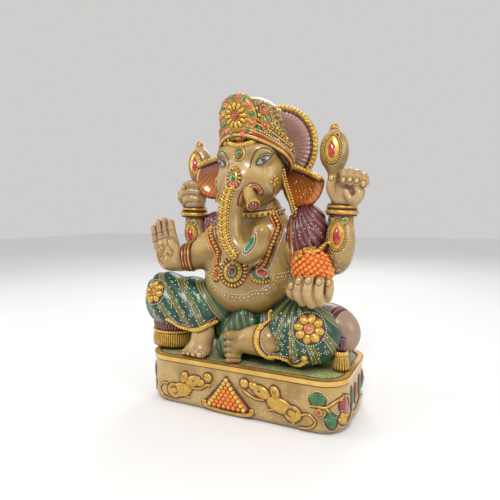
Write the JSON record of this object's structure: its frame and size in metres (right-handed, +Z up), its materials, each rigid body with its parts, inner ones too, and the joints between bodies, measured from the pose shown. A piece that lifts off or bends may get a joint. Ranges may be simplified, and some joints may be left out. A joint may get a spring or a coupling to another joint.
{
  "type": "ganesha idol",
  "caption": "Seated four-armed elephant-headed devotional idol of carved cream stone with painted cloth, gold relief and gems, on a rounded plinth; stands on its flat underside.",
  "frame": {"origin": "middle of the plinth's underside, on the surface that the idol stands on", "axes": "+Z up; the figure faces -Y; the figure's own right side is at -X"},
  "size_m": [0.2203, 0.1102, 0.293],
  "materials": {
    "carved_stone": "polished cream stone under clear lacquer",
    "grass_stone": "polished stone dabbed with pale green paint",
    "gold_paint": "raised gold relief paint with dark red outlines",
    "green_cloth": "carved cloth painted deep green with gold stripes, lacquered",
    "mauve_cloth": "carved pleated cloth painted mauve and plum, lacquered",
    "orange_paint": "raised orange paint, glossy",
    "ear_paint": "copper brown lacquer with fine radial lines",
    "red_gem": "small cut glass cabochon, opaque red",
    "green_paint": "raised green enamel paint, glossy"
  },
  "bodies": {
    "root": {"plinth_block": "carved_stone", "torso": "carved_stone", "right_foot": "carved_stone", "left_foot": "carved_stone", "rear_right_upper_arm": "carved_stone", "rear_left_upper_arm": "carved_stone", "rear_right_forearm": "carved_stone", "rear_left_forearm": "carved_stone", "front_right_arm": "carved_stone", "front_left_arm": "carved_stone", "blessing_hand": "carved_stone", "sweets_hand": "carved_stone", "rear_right_hand": "carved_stone", "rear_left_hand": "carved_stone", "right_emblem": "carved_stone", "left_emblem": "carved_stone", "head": "carved_stone", "trunk": "carved_stone", "tusk": "carved_stone", "plinth_top": "grass_stone", "plinth_rim": "gold_paint", "right_mouse": "gold_paint", "left_mouse": "gold_paint", "sweet_dish": "gold_paint", "vine_scrolls": "gold_paint", "right_cuff": "gold_paint", "left_hem": "gold_paint", "right_knee_medallion": "gold_paint", "left_knee_medallion": "gold_paint", "gold_fringes": "gold_paint", "bangles": "gold_paint", "tusk_cap": "gold_paint", "trunk_braid": "gold_paint", "brow_ornaments": "gold_paint", "headband": "gold_paint", "crown": "gold_paint", "crown_crest": "gold_paint", "collar": "gold_paint", "pendants": "gold_paint", "necklace_chains": "gold_paint", "seat_cloth": "green_cloth", "right_leg_cloth": "green_cloth", "left_leg_cloth": "green_cloth", "lap_pleats": "green_cloth", "right_shawl": "mauve_cloth", "left_shawl": "mauve_cloth", "bolster": "mauve_cloth", "halo": "mauve_cloth", "plinth_sweets": "orange_paint", "hand_sweets": "orange_paint", "right_ear": "ear_paint", "left_ear": "ear_paint", "vine_buds": "red_gem", "knee_gems": "red_gem", "arm_gems": "red_gem", "crown_gems": "red_gem", "vine_leaves": "green_paint", "trunk_gem": "green_paint"}
  },
  "joints": []
}
